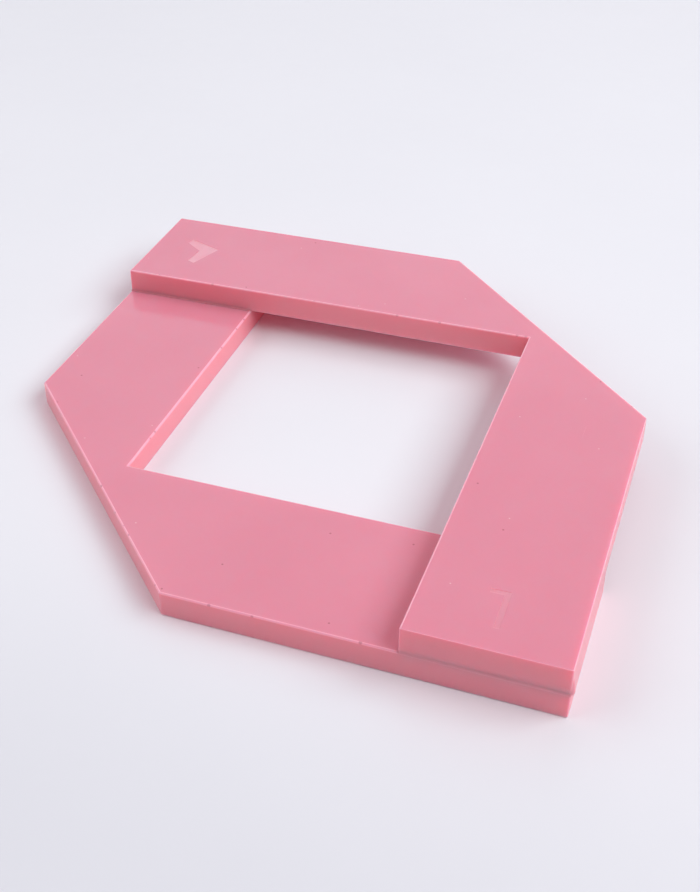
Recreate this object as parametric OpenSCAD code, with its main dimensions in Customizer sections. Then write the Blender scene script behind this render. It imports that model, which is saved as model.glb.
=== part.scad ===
// Corner mitre template for covering book boards and box corners.
// Two L-shaped plates cut from acrylic sheet are cemented one on the other, turned half a turn
// apart. Their arms enclose a square window. Each plate has a right-angled inner corner, which
// takes the corner of a board, and a straight mitre across its outer corner, which guides the
// knife or the scoring tool. The two mitres stand at two distances, for two board thicknesses,
// and the template is turned over to use the other one.

/* [Plates] */
// Length of each outer side
side = 70; // [64:1:90]
// Thickness of the acrylic sheet
sheet = 3; // [2:0.5:5]

/* [Lower plate] */
// Width of the arm along the left side
lower_left_arm = 17.4; // [16:0.1:20]
// Width of the arm along the front side
lower_front_arm = 17.8; // [16:0.1:20]
// Length that the mitre takes off each outer side
lower_mitre = 29.6; // [26:0.1:31]

/* [Upper plate] */
// Width of the arm along the right side
upper_right_arm = 16; // [15:0.1:20]
// Width of the arm along the back side
upper_back_arm = 16.4; // [15:0.1:20]
// Length that the mitre takes off each outer side
upper_mitre = 28.9; // [26:0.1:29.5]

/* [Cement joints] */
// Thickness of the cement film between the plates
film = 0.05; // [0.05:0.05:0.2]

/* [Engraved marks] */
// Depth of the frosted engraving
mark_depth = 0.05; // [0.05:0.05:0.4]
// Length of the chevron from its point to the outer corners of its two arms
chevron_length = 3.4; // [3:0.1:5]
// Width of the chevron between the outer corners of its two arms
chevron_width = 6.8; // [4:0.1:7]
// Thickness of the chevron behind its point
chevron_waist = 2.6; // [1.5:0.1:2.8]
// Width of each of the chevron's arms at its end
chevron_end = 1.1; // [0.6:0.1:1.3]
// Length of the corner tick's bar
tick_bar = 2; // [1.5:0.1:4]
// Length of the corner tick's stem
tick_stem = 5.2; // [3:0.1:6]
// Width of both strokes of the corner tick
tick_stroke = 0.6; // [0.4:0.1:1]

/* [Hidden] */
half = side / 2;
upper_z = sheet + film;
top_z = upper_z + sheet;
// The chevron's point, in from the left side and from the back side, and its turn
chevron_in = [9, 7.3];
chevron_turn = 24;
// The corner tick's outer corner, in from the right side and from the front side
tick_in = [7.4, 8.1];
// How far the engraving cut starts above the top face
over = 1;

// Outline of an L with a mitred corner. The corner is at [0, 0], one arm runs along +X and the
// other along +Y, and each arm has its own width.
module mitred_l(x_arm_width, y_arm_width, mitre) {
  polygon([
    [mitre, 0],
    [side, 0],
    [side, x_arm_width],
    [y_arm_width, x_arm_width],
    [y_arm_width, side],
    [0, side],
    [0, mitre]
  ]);
}

// Chevron that points along +X, with its point at the origin and its arms cut off square.
module chevron() {
  outer = [-chevron_length, chevron_width / 2];
  inner = outer + chevron_end * [-outer.y, outer.x] / norm(outer);
  polygon([
    [0, 0],
    outer,
    inner,
    [-chevron_waist, 0],
    [inner.x, -inner.y],
    [outer.x, -outer.y]
  ]);
}

// Corner tick with its outer corner at the origin, a bar to the left and a stem to the front.
module corner_tick() {
  polygon([
    [0, 0],
    [0, -tick_stem],
    [-tick_stroke, -tick_stem],
    [-tick_stroke, -tick_stroke],
    [-tick_bar, -tick_stroke],
    [-tick_bar, 0]
  ]);
}

module engraved_marks() {
  translate([-half + chevron_in[0], half - chevron_in[1]]) rotate(chevron_turn) chevron();
  translate([half - tick_in[0], -half + tick_in[1]]) corner_tick();
}

// The mitred corner is at the front left.
module lower_plate() {
  color("#e58fa6")
    translate([-half, -half, 0])
      linear_extrude(sheet)
        mitred_l(lower_front_arm, lower_left_arm, lower_mitre);
}

// The mitred corner is at the back right, and both marks are cut into the top face.
module upper_plate() {
  color("#ea9ab1")
    difference() {
      translate([half, half, upper_z])
        rotate(180)
          linear_extrude(sheet)
            mitred_l(upper_back_arm, upper_right_arm, upper_mitre);
      translate([0, 0, top_z - mark_depth])
        linear_extrude(mark_depth + over)
          engraved_marks();
    }
}

// Cement film that fills the joint between two corner points.
module cement_film(low, high) {
  color("#d9788f")
    translate([low[0], low[1], sheet])
      cube([high[0] - low[0], high[1] - low[1], film]);
}

module back_left_cement_film() {
  cement_film([-half, half - upper_back_arm], [-half + lower_left_arm, half]);
}

module front_right_cement_film() {
  cement_film([half - upper_right_arm, -half], [half, -half + lower_front_arm]);
}

lower_plate();
upper_plate();
back_left_cement_film();
front_right_cement_film();
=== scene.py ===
"""Corner mitre template: two pink acrylic plates, cemented half a turn apart, on a pale table."""

import math

import bmesh
import bpy
from mathutils import Matrix, Vector


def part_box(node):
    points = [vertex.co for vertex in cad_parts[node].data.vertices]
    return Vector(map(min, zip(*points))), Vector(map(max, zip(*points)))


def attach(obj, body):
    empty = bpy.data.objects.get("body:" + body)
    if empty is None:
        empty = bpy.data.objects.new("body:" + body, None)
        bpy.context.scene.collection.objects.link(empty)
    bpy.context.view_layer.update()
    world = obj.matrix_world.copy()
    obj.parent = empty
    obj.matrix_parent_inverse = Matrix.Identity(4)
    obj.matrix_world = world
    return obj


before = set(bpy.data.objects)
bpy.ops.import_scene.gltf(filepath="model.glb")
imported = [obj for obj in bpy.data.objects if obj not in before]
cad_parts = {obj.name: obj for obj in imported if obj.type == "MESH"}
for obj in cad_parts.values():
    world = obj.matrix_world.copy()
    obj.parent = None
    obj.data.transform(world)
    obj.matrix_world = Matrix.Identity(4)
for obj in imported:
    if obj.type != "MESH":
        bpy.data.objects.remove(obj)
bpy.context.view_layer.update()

MM = 0.001
# Two places closer together than this count as the same.
SAME = 0.01 * MM

# ---------------------------------------------------------------- places, from the frame

lower_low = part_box("lower_plate")[0]
upper_low, upper_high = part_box("upper_plate")
TOP_Z = upper_high.z
MARK_DEPTH = 0.05 * MM


# ---------------------------------------------------------------- node helpers


class Nodes:
    """Short names for building one node tree."""

    def __init__(self, tree):
        self.tree = tree

    def add(self, kind, inputs=None, **settings):
        node = self.tree.nodes.new(kind)
        for key, value in settings.items():
            setattr(node, key, value)
        for key, value in (inputs or {}).items():
            self.feed(node.inputs[key], value)
        return node

    def feed(self, socket, value):
        if isinstance(value, bpy.types.NodeSocket):
            self.tree.links.new(value, socket)
        else:
            socket.default_value = value

    def math(self, operation, a, b=0.0):
        return self.add("ShaderNodeMath", {0: a, 1: b}, operation=operation).outputs[0]

    def times(self, a, b):
        return self.math("MULTIPLY", a, b)

    def ramp(self, value, low, high, out_low=0.0, out_high=1.0):
        """Smooth change from out_low, where value is at most low, to out_high, where it is at least high."""
        limits = {"From Min": low, "From Max": high, "To Min": out_low, "To Max": out_high}
        node = self.add("ShaderNodeMapRange", {"Value": value, **limits}, interpolation_type="SMOOTHSTEP")
        return node.outputs["Result"]

    def mix_colours(self, factor, a, b):
        return self.add("ShaderNodeMix", {0: factor, 6: a, 7: b}, data_type="RGBA").outputs[2]

    def mix_values(self, factor, a, b):
        return self.add("ShaderNodeMix", {0: factor, 2: a, 3: b}, data_type="FLOAT").outputs[0]

    def position(self, scale):
        """Place in the object's own axes, in pattern units. scale says how many of them make a metre."""
        place = self.add("ShaderNodeTexCoord").outputs["Object"]
        return self.add("ShaderNodeVectorMath", {0: place, 1: scale}, operation="MULTIPLY").outputs[0]

    def place(self, axis):
        """Place along one of the object's own axes, in metres."""
        return self.add("ShaderNodeSeparateXYZ", {0: self.position((1, 1, 1))}).outputs[axis]

    def noise(self, size_mm, detail=2.0, stretch=(1, 1, 1), roughness=0.5):
        """Noise whose features are about size_mm across, longer along an axis by its stretch."""
        scale = [1 / (size_mm * MM * s) for s in stretch]
        inputs = {"Vector": self.position(scale), "Scale": 1.0, "Detail": detail, "Roughness": roughness}
        return self.add("ShaderNodeTexNoise", inputs).outputs["Fac"]

    def specks(self, spacing_mm, size_mm, share, offset=0.0):
        """Mask of round specks in plan, in that share of the cells of a grid of spacing_mm."""
        scale = [1 / (spacing_mm * MM)] * 3
        shift = {0: self.position(scale), 1: (offset, offset, offset)}
        moved = self.add("ShaderNodeVectorMath", shift, operation="ADD").outputs[0]
        cells = self.add("ShaderNodeTexVoronoi", voronoi_dimensions="2D")
        self.feed(cells.inputs["Vector"], moved)
        self.feed(cells.inputs["Scale"], 1.0)
        lot = self.add("ShaderNodeSeparateColor", {"Color": cells.outputs["Color"]}).outputs[0]
        chosen = self.math("LESS_THAN", lot, share)
        radius = size_mm / 2 / spacing_mm
        spot = self.ramp(cells.outputs["Distance"], radius * 0.7, radius * 1.3, 1.0, 0.0)
        return self.times(chosen, spot)


def new_material(name):
    """New material, its nodes and the inputs of its shader."""
    material = bpy.data.materials.new(name)
    material.use_nodes = True
    n = Nodes(material.node_tree)
    return material, n, n.tree.nodes["Principled BSDF"].inputs


# ---------------------------------------------------------------- materials

PINK = (0.745, 0.272, 0.36, 1)
DEEP_PINK = (0.73, 0.258, 0.345, 1)
# Painted glow: the cut sides get a brighter red that stands in for light passing through the sheet.
SIDE_GLOW_PINK = (0.83, 0.285, 0.345, 1)
# Painted highlight colours for the rounded rims, the paler one where they face the back.
RIM_HIGHLIGHT_PINK = (0.96, 0.48, 0.58, 1)
PALE_RIM_HIGHLIGHT = (1.0, 0.82, 0.88, 1)
FROST = (0.94, 0.62, 0.68, 1)
PALE_DUST = (0.95, 0.80, 0.82, 1)
DARK_DUST = (0.30, 0.07, 0.08, 1)
CEMENT = (0.80, 0.27, 0.34, 1)
# Share of the lamps' light that each face lets through, so that what the translucent sheet shades glows red.
THROUGH = (0.42, 0.10, 0.13, 1)
TABLE = (0.805, 0.808, 0.858, 1)
PALE_TABLE = (0.815, 0.818, 0.868, 1)
# Painted shade that darkens the table towards its front.
TABLE_FRONT_SHADE = (0.0, 0.0, 0.08, 1)

ACRYLIC_IOR = 1.49
# How far red, green and blue light spreads inside the sheet.
SPREAD = (1.0, 0.40, 0.50)
SPREAD_SCALE = 1.4 * MM


def let_light_through(n):
    """Lets a reddened share of the lamps' light pass, as a translucent sheet does."""
    is_shadow = n.add("ShaderNodeLightPath").outputs["Is Shadow Ray"]
    passing = n.add("ShaderNodeBsdfTransparent", {"Color": THROUGH}).outputs[0]
    solid = n.tree.nodes["Principled BSDF"].outputs[0]
    both = n.add("ShaderNodeMixShader", {0: is_shadow, 1: solid, 2: passing}).outputs[0]
    n.feed(n.tree.nodes["Material Output"].inputs["Surface"], both)


def acrylic_colour(n, normal, is_side, is_rim, dust, grit):
    """A slow drift in the dye, a painted glow on the cut sides, a painted highlight on their rims, and dust.
    """
    colour = n.mix_colours(n.ramp(n.noise(14, 3), 0.3, 0.7), PINK, DEEP_PINK)
    # Painted glow on the cut sides, as a brighter red.
    colour = n.mix_colours(is_side, colour, SIDE_GLOW_PINK)

    # Painted highlight on the rims: weakest where they face the front, and palest where they face the back.
    highlight_strength = n.ramp(normal["Y"], -0.65, -0.25, 0.45, 0.75)
    rim = n.mix_colours(n.ramp(normal["Y"], 0.1, 0.5), RIM_HIGHLIGHT_PINK, PALE_RIM_HIGHLIGHT)
    colour = n.mix_colours(n.times(is_rim, highlight_strength), colour, rim)

    chips = n.times(n.specks(spacing_mm=1.1, size_mm=0.34, share=0.3, offset=3.1), is_rim)
    for mask, strength, tint in ((chips, 0.4, DARK_DUST), (dust, 0.5, PALE_DUST), (grit, 0.45, DARK_DUST)):
        colour = n.mix_colours(n.times(mask, strength), colour, tint)
    return colour


def acrylic_height(n, is_side, scratches, lines, specks):
    """Orange peel and hairline scratches on the faces, the laser's upright lines on the sides, and specks."""
    orange_peel = n.noise(1.6, 2)
    face_height = n.math("SUBTRACT", n.times(orange_peel, 0.5), n.times(scratches, 0.04))
    side_height = n.times(lines, 0.04)
    height = n.mix_values(is_side, face_height, side_height)
    return n.math("ADD", height, n.times(specks, 3.0))


def acrylic_roughness(n, is_side, scratches, lines):
    """Polished faces with faint smears, and duller cut sides."""
    smears = n.ramp(n.noise(9, 4, (1, 1.6, 1), 0.65), 0.35, 0.75, 0.14, 0.24)
    face_roughness = n.math("ADD", smears, n.times(scratches, 0.06))
    side_roughness = n.ramp(lines, 0.3, 0.7, 0.30, 0.33)
    return n.mix_values(is_side, face_roughness, side_roughness)


def frosted_marks(n, normal, colour, roughness, height):
    """Colour, roughness and height with the floors of the marks frosted, less towards the front."""
    place_z = n.place("Z")
    sunk = n.math("LESS_THAN", place_z, TOP_Z - MARK_DEPTH / 2)
    near = n.math("GREATER_THAN", place_z, TOP_Z - MARK_DEPTH * 2)
    facing_up = n.math("GREATER_THAN", normal["Z"], 0.5)
    frosted = n.times(n.times(sunk, near), facing_up)
    strength = n.ramp(n.place("Y"), upper_low.y, upper_high.y, 0.12, 0.44)
    patchy = n.ramp(n.noise(2.2, 2), 0.3, 0.7, 0.7, 1.0)
    grain = n.noise(0.12, 2)
    return (
        n.mix_colours(n.times(frosted, n.times(patchy, strength)), colour, FROST),
        n.math("ADD", roughness, n.times(frosted, 0.35)),
        n.math("ADD", height, n.times(n.times(frosted, grain), 2.5)),
    )


def acrylic(name, marked):
    """Pink cast acrylic, with polished faces and laser-cut sides, and with frosted marks if marked."""
    material, n, shader = new_material(name)
    true_normal = n.add("ShaderNodeNewGeometry").outputs["True Normal"]
    normal = n.add("ShaderNodeSeparateXYZ", {0: true_normal}).outputs

    # Level is 0 on an upright side and 1 on a flat face. The rounded rims lie between.
    level = n.math("ABSOLUTE", normal["Z"])
    is_side = n.ramp(level, 0.35, 0.75, 1.0, 0.0)
    is_face = n.math("SUBTRACT", 1.0, is_side)
    is_rim = n.times(n.ramp(level, 0.05, 0.35), n.ramp(level, 0.972, 0.996, 1.0, 0.0))

    dust = n.times(n.specks(spacing_mm=3.1, size_mm=0.15, share=0.045), is_face)
    grit = n.times(n.specks(spacing_mm=4.3, size_mm=0.22, share=0.07, offset=7.3), is_face)
    scratches_y = n.ramp(n.noise(0.10, 1, (1, 90, 1)), 0.74, 0.82)
    scratches_x = n.ramp(n.noise(0.10, 1, (90, 1, 1)), 0.75, 0.83)
    scratches = n.math("MAXIMUM", scratches_y, scratches_x)
    lines = n.noise(0.22, 3, (1, 1, 18), 0.6)

    colour = acrylic_colour(n, normal, is_side, is_rim, dust, grit)
    height = acrylic_height(n, is_side, scratches, lines, n.math("MAXIMUM", dust, grit))
    roughness = acrylic_roughness(n, is_side, scratches, lines)
    if marked:
        colour, roughness, height = frosted_marks(n, normal, colour, roughness, height)

    bump = n.add("ShaderNodeBump", {"Height": height, "Strength": 0.5, "Distance": 0.01 * MM})
    n.feed(shader["Base Color"], colour)
    n.feed(shader["Roughness"], roughness)
    n.feed(shader["Normal"], bump.outputs[0])
    shader["IOR"].default_value = ACRYLIC_IOR
    shader["Subsurface Weight"].default_value = 1.0
    shader["Subsurface Radius"].default_value = SPREAD
    shader["Subsurface Scale"].default_value = SPREAD_SCALE
    let_light_through(n)
    return material


def cement():
    """Cured solvent cement, as pink as the cut sides with their painted glow. It is too thin for light to
    spread inside it.
    """
    material, n, shader = new_material("acrylic_cement")
    # Part of the cement takes the cut sides' colour, painted glow included.
    n.feed(shader["Base Color"], n.mix_colours(n.ramp(n.noise(0.8, 3), 0.35, 0.65), CEMENT, SIDE_GLOW_PINK))
    n.feed(shader["Roughness"], n.ramp(n.noise(0.5, 2), 0.3, 0.7, 0.38, 0.5))
    shader["IOR"].default_value = ACRYLIC_IOR
    let_light_through(n)
    return material


def table_top():
    """Smooth off-white table with a faint mottle and painted shade, a little darker towards its front."""
    material, n, shader = new_material("table_top")
    mottle = n.ramp(n.noise(40, 3), 0.3, 0.7)
    tone = n.mix_colours(mottle, TABLE, PALE_TABLE)
    # Painted shade: darker towards the table's front.
    front = n.ramp(n.place("Y"), -75 * MM, -15 * MM, 0.14, 0.0)
    n.feed(shader["Base Color"], n.mix_colours(front, tone, TABLE_FRONT_SHADE))
    n.feed(shader["Roughness"], n.ramp(n.noise(3, 3), 0.3, 0.7, 0.5, 0.6))
    return material


# ---------------------------------------------------------------- plates

RIM_ROUND = 0.2 * MM
# Share of RIM_ROUND that each kind of edge is rounded by.
EDGE_SHARE = {"rim": 1.0, "joint": 0.0, "corner": 0.8, "flat": 0.0, "mark": 0.0}


def plan(point):
    """Place in plan, rounded so that points above each other agree."""
    return round(point.x / SAME), round(point.y / SAME)


def edge_kinds(mesh, low, high, joint_z):
    """For each edge: face rim, rim at the joint, upright corner, flat (inside a face) or engraving."""
    faces_on = {}
    for face in mesh.polygons:
        for key in face.edge_keys:
            faces_on[key] = faces_on.get(key, 0) + 1
    outline = {plan(v.co) for v in mesh.vertices if abs(v.co.z - low.z) < SAME}
    outline &= {plan(v.co) for v in mesh.vertices if abs(v.co.z - high.z) < SAME}
    for edge in mesh.edges:
        a, b = (mesh.vertices[i].co for i in edge.vertices)
        if faces_on[edge.key] > 1:
            yield edge, "flat"
        elif plan(a) not in outline or plan(b) not in outline:
            yield edge, "mark"
        elif abs(a.z - b.z) > SAME:
            yield edge, "corner"
        else:
            yield edge, "joint" if abs(a.z - joint_z) < SAME else "rim"


def finish_plate(node, material):
    """Gives a CAD plate its material and slightly rounded edges. Its own mesh stays as it is."""
    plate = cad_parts[node]
    low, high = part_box(node)
    mesh = plate.data
    weights = mesh.attributes.new("bevel_weight_edge", "FLOAT", "EDGE")
    for edge, kind in edge_kinds(mesh, low, high, upper_low.z):
        weights.data[edge.index].value = EDGE_SHARE[kind]
        edge.use_edge_sharp = kind in ("joint", "mark")
    for face in mesh.polygons:
        face.use_smooth = True
    mesh.materials.clear()
    mesh.materials.append(material)
    weld = plate.modifiers.new("weld", "WELD")
    weld.merge_threshold = 0.001 * MM
    flat = plate.modifiers.new("flat_faces", "DECIMATE")
    flat.decimate_type = "DISSOLVE"
    flat.angle_limit = math.radians(1)
    flat.delimit = set()
    rounded = plate.modifiers.new("rounded_edges", "BEVEL")
    rounded.limit_method = "WEIGHT"
    rounded.width = RIM_ROUND
    rounded.segments = 3
    rounded.use_clamp_overlap = False
    shading = plate.modifiers.new("flat_shading", "WEIGHTED_NORMAL")
    shading.keep_sharp = True


finish_plate("lower_plate", acrylic("lower_acrylic", marked=False))
finish_plate("upper_plate", acrylic("upper_acrylic", marked=True))
cement_material = cement()
for film in ("back_left_cement_film", "front_right_cement_film"):
    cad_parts[film].data.materials.clear()
    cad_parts[film].data.materials.append(cement_material)


# ---------------------------------------------------------------- cement squeezed out of the joints

# A fillet's radius, its depth in the plates, the steps round its hollow and the spacing of its rings.
FILLET = 0.12 * MM
FILLET_SUNK = 0.04 * MM
FILLET_STEPS = 6
STATION = 0.4 * MM

# A fill's distance from a joint's inner sides, its depth, and its top's height as a share of proud.
FILL_INSIDE = 0.02 * MM
FILL_DEPTH = 1.2 * RIM_ROUND
FILL_TOP = 0.2

BEAD_OFFSET = Vector((-0.16, 0.50, 0)) * MM
BEAD_SIDES = 20
# Radius and height above the joint of each ring of the bead, in mm.
BEAD_PROFILE = (
    (0.10, -0.40), (0.30, -0.30), (0.42, -0.10), (0.45, 0.15),
    (0.40, 0.6), (0.30, 1.1), (0.20, 1.5), (0.1, 1.7),
)


def tube_faces(rings, count):
    """Faces between rings of count points each, and over the first and the last ring."""
    faces = [
        (i * count + j, i * count + (j + 1) % count, (i + 1) * count + (j + 1) % count, (i + 1) * count + j)
        for i in range(rings - 1)
        for j in range(count)
    ]
    last = (rings - 1) * count
    return faces + [tuple(reversed(range(count))), tuple(range(last, last + count))]


def cement_piece(name, rings, smooth=True):
    """Closed piece of cured cement through equal rings of points, on the fixed body."""
    points = [point for ring in rings for point in ring]
    mesh = bpy.data.meshes.new(name)
    mesh.from_pydata(points, [], tube_faces(len(rings), len(rings[0])))
    turned = bmesh.new()
    turned.from_mesh(mesh)
    bmesh.ops.recalc_face_normals(turned, faces=turned.faces)
    turned.to_mesh(mesh)
    turned.free()
    for face in mesh.polygons:
        face.use_smooth = smooth
    mesh.materials.append(cement_material)
    piece = bpy.data.objects.new(name, mesh)
    bpy.context.scene.collection.objects.link(piece)
    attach(piece, "root")


def swell(along, start):
    """Uneven size of a fillet run by hand, where along goes from 0 to 1. Its start shifts the pattern."""
    slow = 0.16 * math.sin(along * 23 + start.x * 900)
    quick = 0.10 * math.sin(along * 61 + start.y * 700)
    return 1 + slow + quick


def cement_fillet(name, start, end, outward, up):
    """Hollow fillet from start to end, between a flat face, along outward, and a wall, along up."""
    start, end, outward, up = (Vector(v) for v in (start, end, outward, up))
    count = round((end - start).length / STATION)
    angles = [math.pi / 2 * k / FILLET_STEPS for k in range(FILLET_STEPS + 1)]
    sunk = -FILLET_SUNK
    rings = []
    for i in range(count + 1):
        along = i / count
        size = FILLET * swell(along, start)
        hollow = [(size * (1 - math.sin(t)), size * (1 - math.cos(t))) for t in reversed(angles)]
        profile = [(sunk, sunk), (size, sunk), *hollow, (sunk, size)]
        rings.append([start.lerp(end, along) + outward * u + up * w for u, w in profile])
    cement_piece(name, rings)


def cement_bead(name, centre):
    """Drip of cement down an upright corner, round an upright line through centre."""
    turns = [math.tau * k / BEAD_SIDES for k in range(BEAD_SIDES)]
    rings = [
        [centre + Vector((r * math.cos(t), r * math.sin(t), z)) * MM for t in turns]
        for r, z in BEAD_PROFILE
    ]
    cement_piece(name, rings)


def cement_fill(name, film, proud):
    """Cement in the groove that the lower plate's rounded rim leaves around a joint.

    It stands proud of the plates' sides, or lies behind them where proud is below zero.
    """
    low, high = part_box(film)
    x0 = low.x - proud if low.x < lower_low.x + SAME else low.x + FILL_INSIDE
    x1 = high.x + proud if high.x > upper_high.x - SAME else high.x - FILL_INSIDE
    y0 = low.y - proud if low.y < lower_low.y + SAME else low.y + FILL_INSIDE
    y1 = high.y + proud if high.y > upper_high.y - SAME else high.y - FILL_INSIDE
    corners = ((x0, y0), (x1, y0), (x1, y1), (x0, y1))
    heights = (low.z - FILL_DEPTH, high.z + FILL_TOP * proud)
    rings = [[Vector((x, y, z)) for x, y in corners] for z in heights]
    cement_piece(name, rings, smooth=False)


cement_fill("front_right_cement_fill", "front_right_cement_film", proud=-0.01 * MM)
cement_fill("back_left_cement_fill", "back_left_cement_film", proud=0.004 * MM)

# On one inner side of each joint the raised arm stands on the lower plate. On the other it reaches past it.
low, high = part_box("front_right_cement_film")
cement_fillet("front_right_cement_above", low, (low.x, high.y, low.z), (-1, 0, 0), (0, 0, 1))
cement_fillet("front_right_cement_below", (low.x, high.y, high.z), high, (0, 1, 0), (0, 0, -1))
cement_bead("front_right_cement_bead", Vector((high.x, low.y, low.z)) + BEAD_OFFSET)
low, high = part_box("back_left_cement_film")
cement_fillet("back_left_cement_above", low, (high.x, low.y, low.z), (0, -1, 0), (0, 0, 1))
cement_fillet("back_left_cement_below", (high.x, low.y, high.z), high, (1, 0, 0), (0, 0, -1))


# ---------------------------------------------------------------- table and light

TABLE_SIZE = 6

bpy.ops.mesh.primitive_plane_add(size=TABLE_SIZE)
table = bpy.context.object
table.name = "table"
table.data.materials.append(table_top())


def soft_light(name, place, size, power, colour):
    """Area light at place, aimed at the middle of the object. size is its width and height."""
    data = bpy.data.lights.new(name, "AREA")
    data.shape = "RECTANGLE"
    data.size, data.size_y = size
    data.energy = power
    data.color = colour
    light = bpy.data.objects.new(name, data)
    bpy.context.scene.collection.objects.link(light)
    light.location = place
    light.rotation_euler = (-Vector(place)).to_track_quat("-Z", "Y").to_euler()


soft_light("window", (0.69, 0.02, 0.70), (1.1, 0.6), 9.6, (1.0, 0.99, 0.99))
soft_light("back_wall", (-0.30, 0.78, 0.79), (1.0, 0.8), 1.6, (0.88, 0.92, 1.0))
soft_light("left_wall", (-0.85, -0.20, 0.55), (1.2, 0.9), 5.2, (1.0, 0.99, 1.0))


def room(front, back, overhead):
    """Room light, given its strength from the front, where the viewer stands, the back and overhead."""
    world = bpy.data.worlds.new("room")
    world.use_nodes = True
    n = Nodes(world.node_tree)
    background = n.tree.nodes["Background"].inputs
    background["Color"].default_value = (0.98, 0.96, 1.0, 1)
    direction = n.add("ShaderNodeTexCoord").outputs["Generated"]
    axes = n.add("ShaderNodeSeparateXYZ", {0: direction}).outputs
    around = n.ramp(axes["Y"], -0.7, 0.4, front, back)
    n.feed(background["Strength"], n.ramp(axes["Z"], 0.4, 0.9, around, overhead))
    return world


bpy.context.scene.world = room(front=0.23, back=0.48, overhead=0.18)
bpy.context.scene.view_settings.view_transform = "Standard"


# ---------------------------------------------------------------- camera

CAMERA_PLACE = Vector((42.86, -119.71, 90.33)) * MM
# In degrees.
CAMERA_AZIMUTH, CAMERA_DOWN, CAMERA_ROLL = 22.13, 35.94, -1.82
# The sensor and the focal length are in mm, and the shift is a share of the image's long side.
SENSOR_WIDTH = 36
FOCAL_LENGTH = 53.3664
SIDE_SHIFT = 0.07287

lens = bpy.data.cameras.new("camera")
lens.sensor_width = SENSOR_WIDTH
lens.lens = FOCAL_LENGTH
lens.shift_x = SIDE_SHIFT
lens.clip_start = 10 * MM
camera = bpy.data.objects.new("camera", lens)
bpy.context.scene.collection.objects.link(camera)
camera.matrix_world = (
    Matrix.Translation(CAMERA_PLACE)
    @ Matrix.Rotation(math.radians(CAMERA_AZIMUTH), 4, "Z")
    @ Matrix.Rotation(math.radians(90 - CAMERA_DOWN), 4, "X")
    @ Matrix.Rotation(math.radians(CAMERA_ROLL), 4, "Z")
)
bpy.context.scene.camera = camera
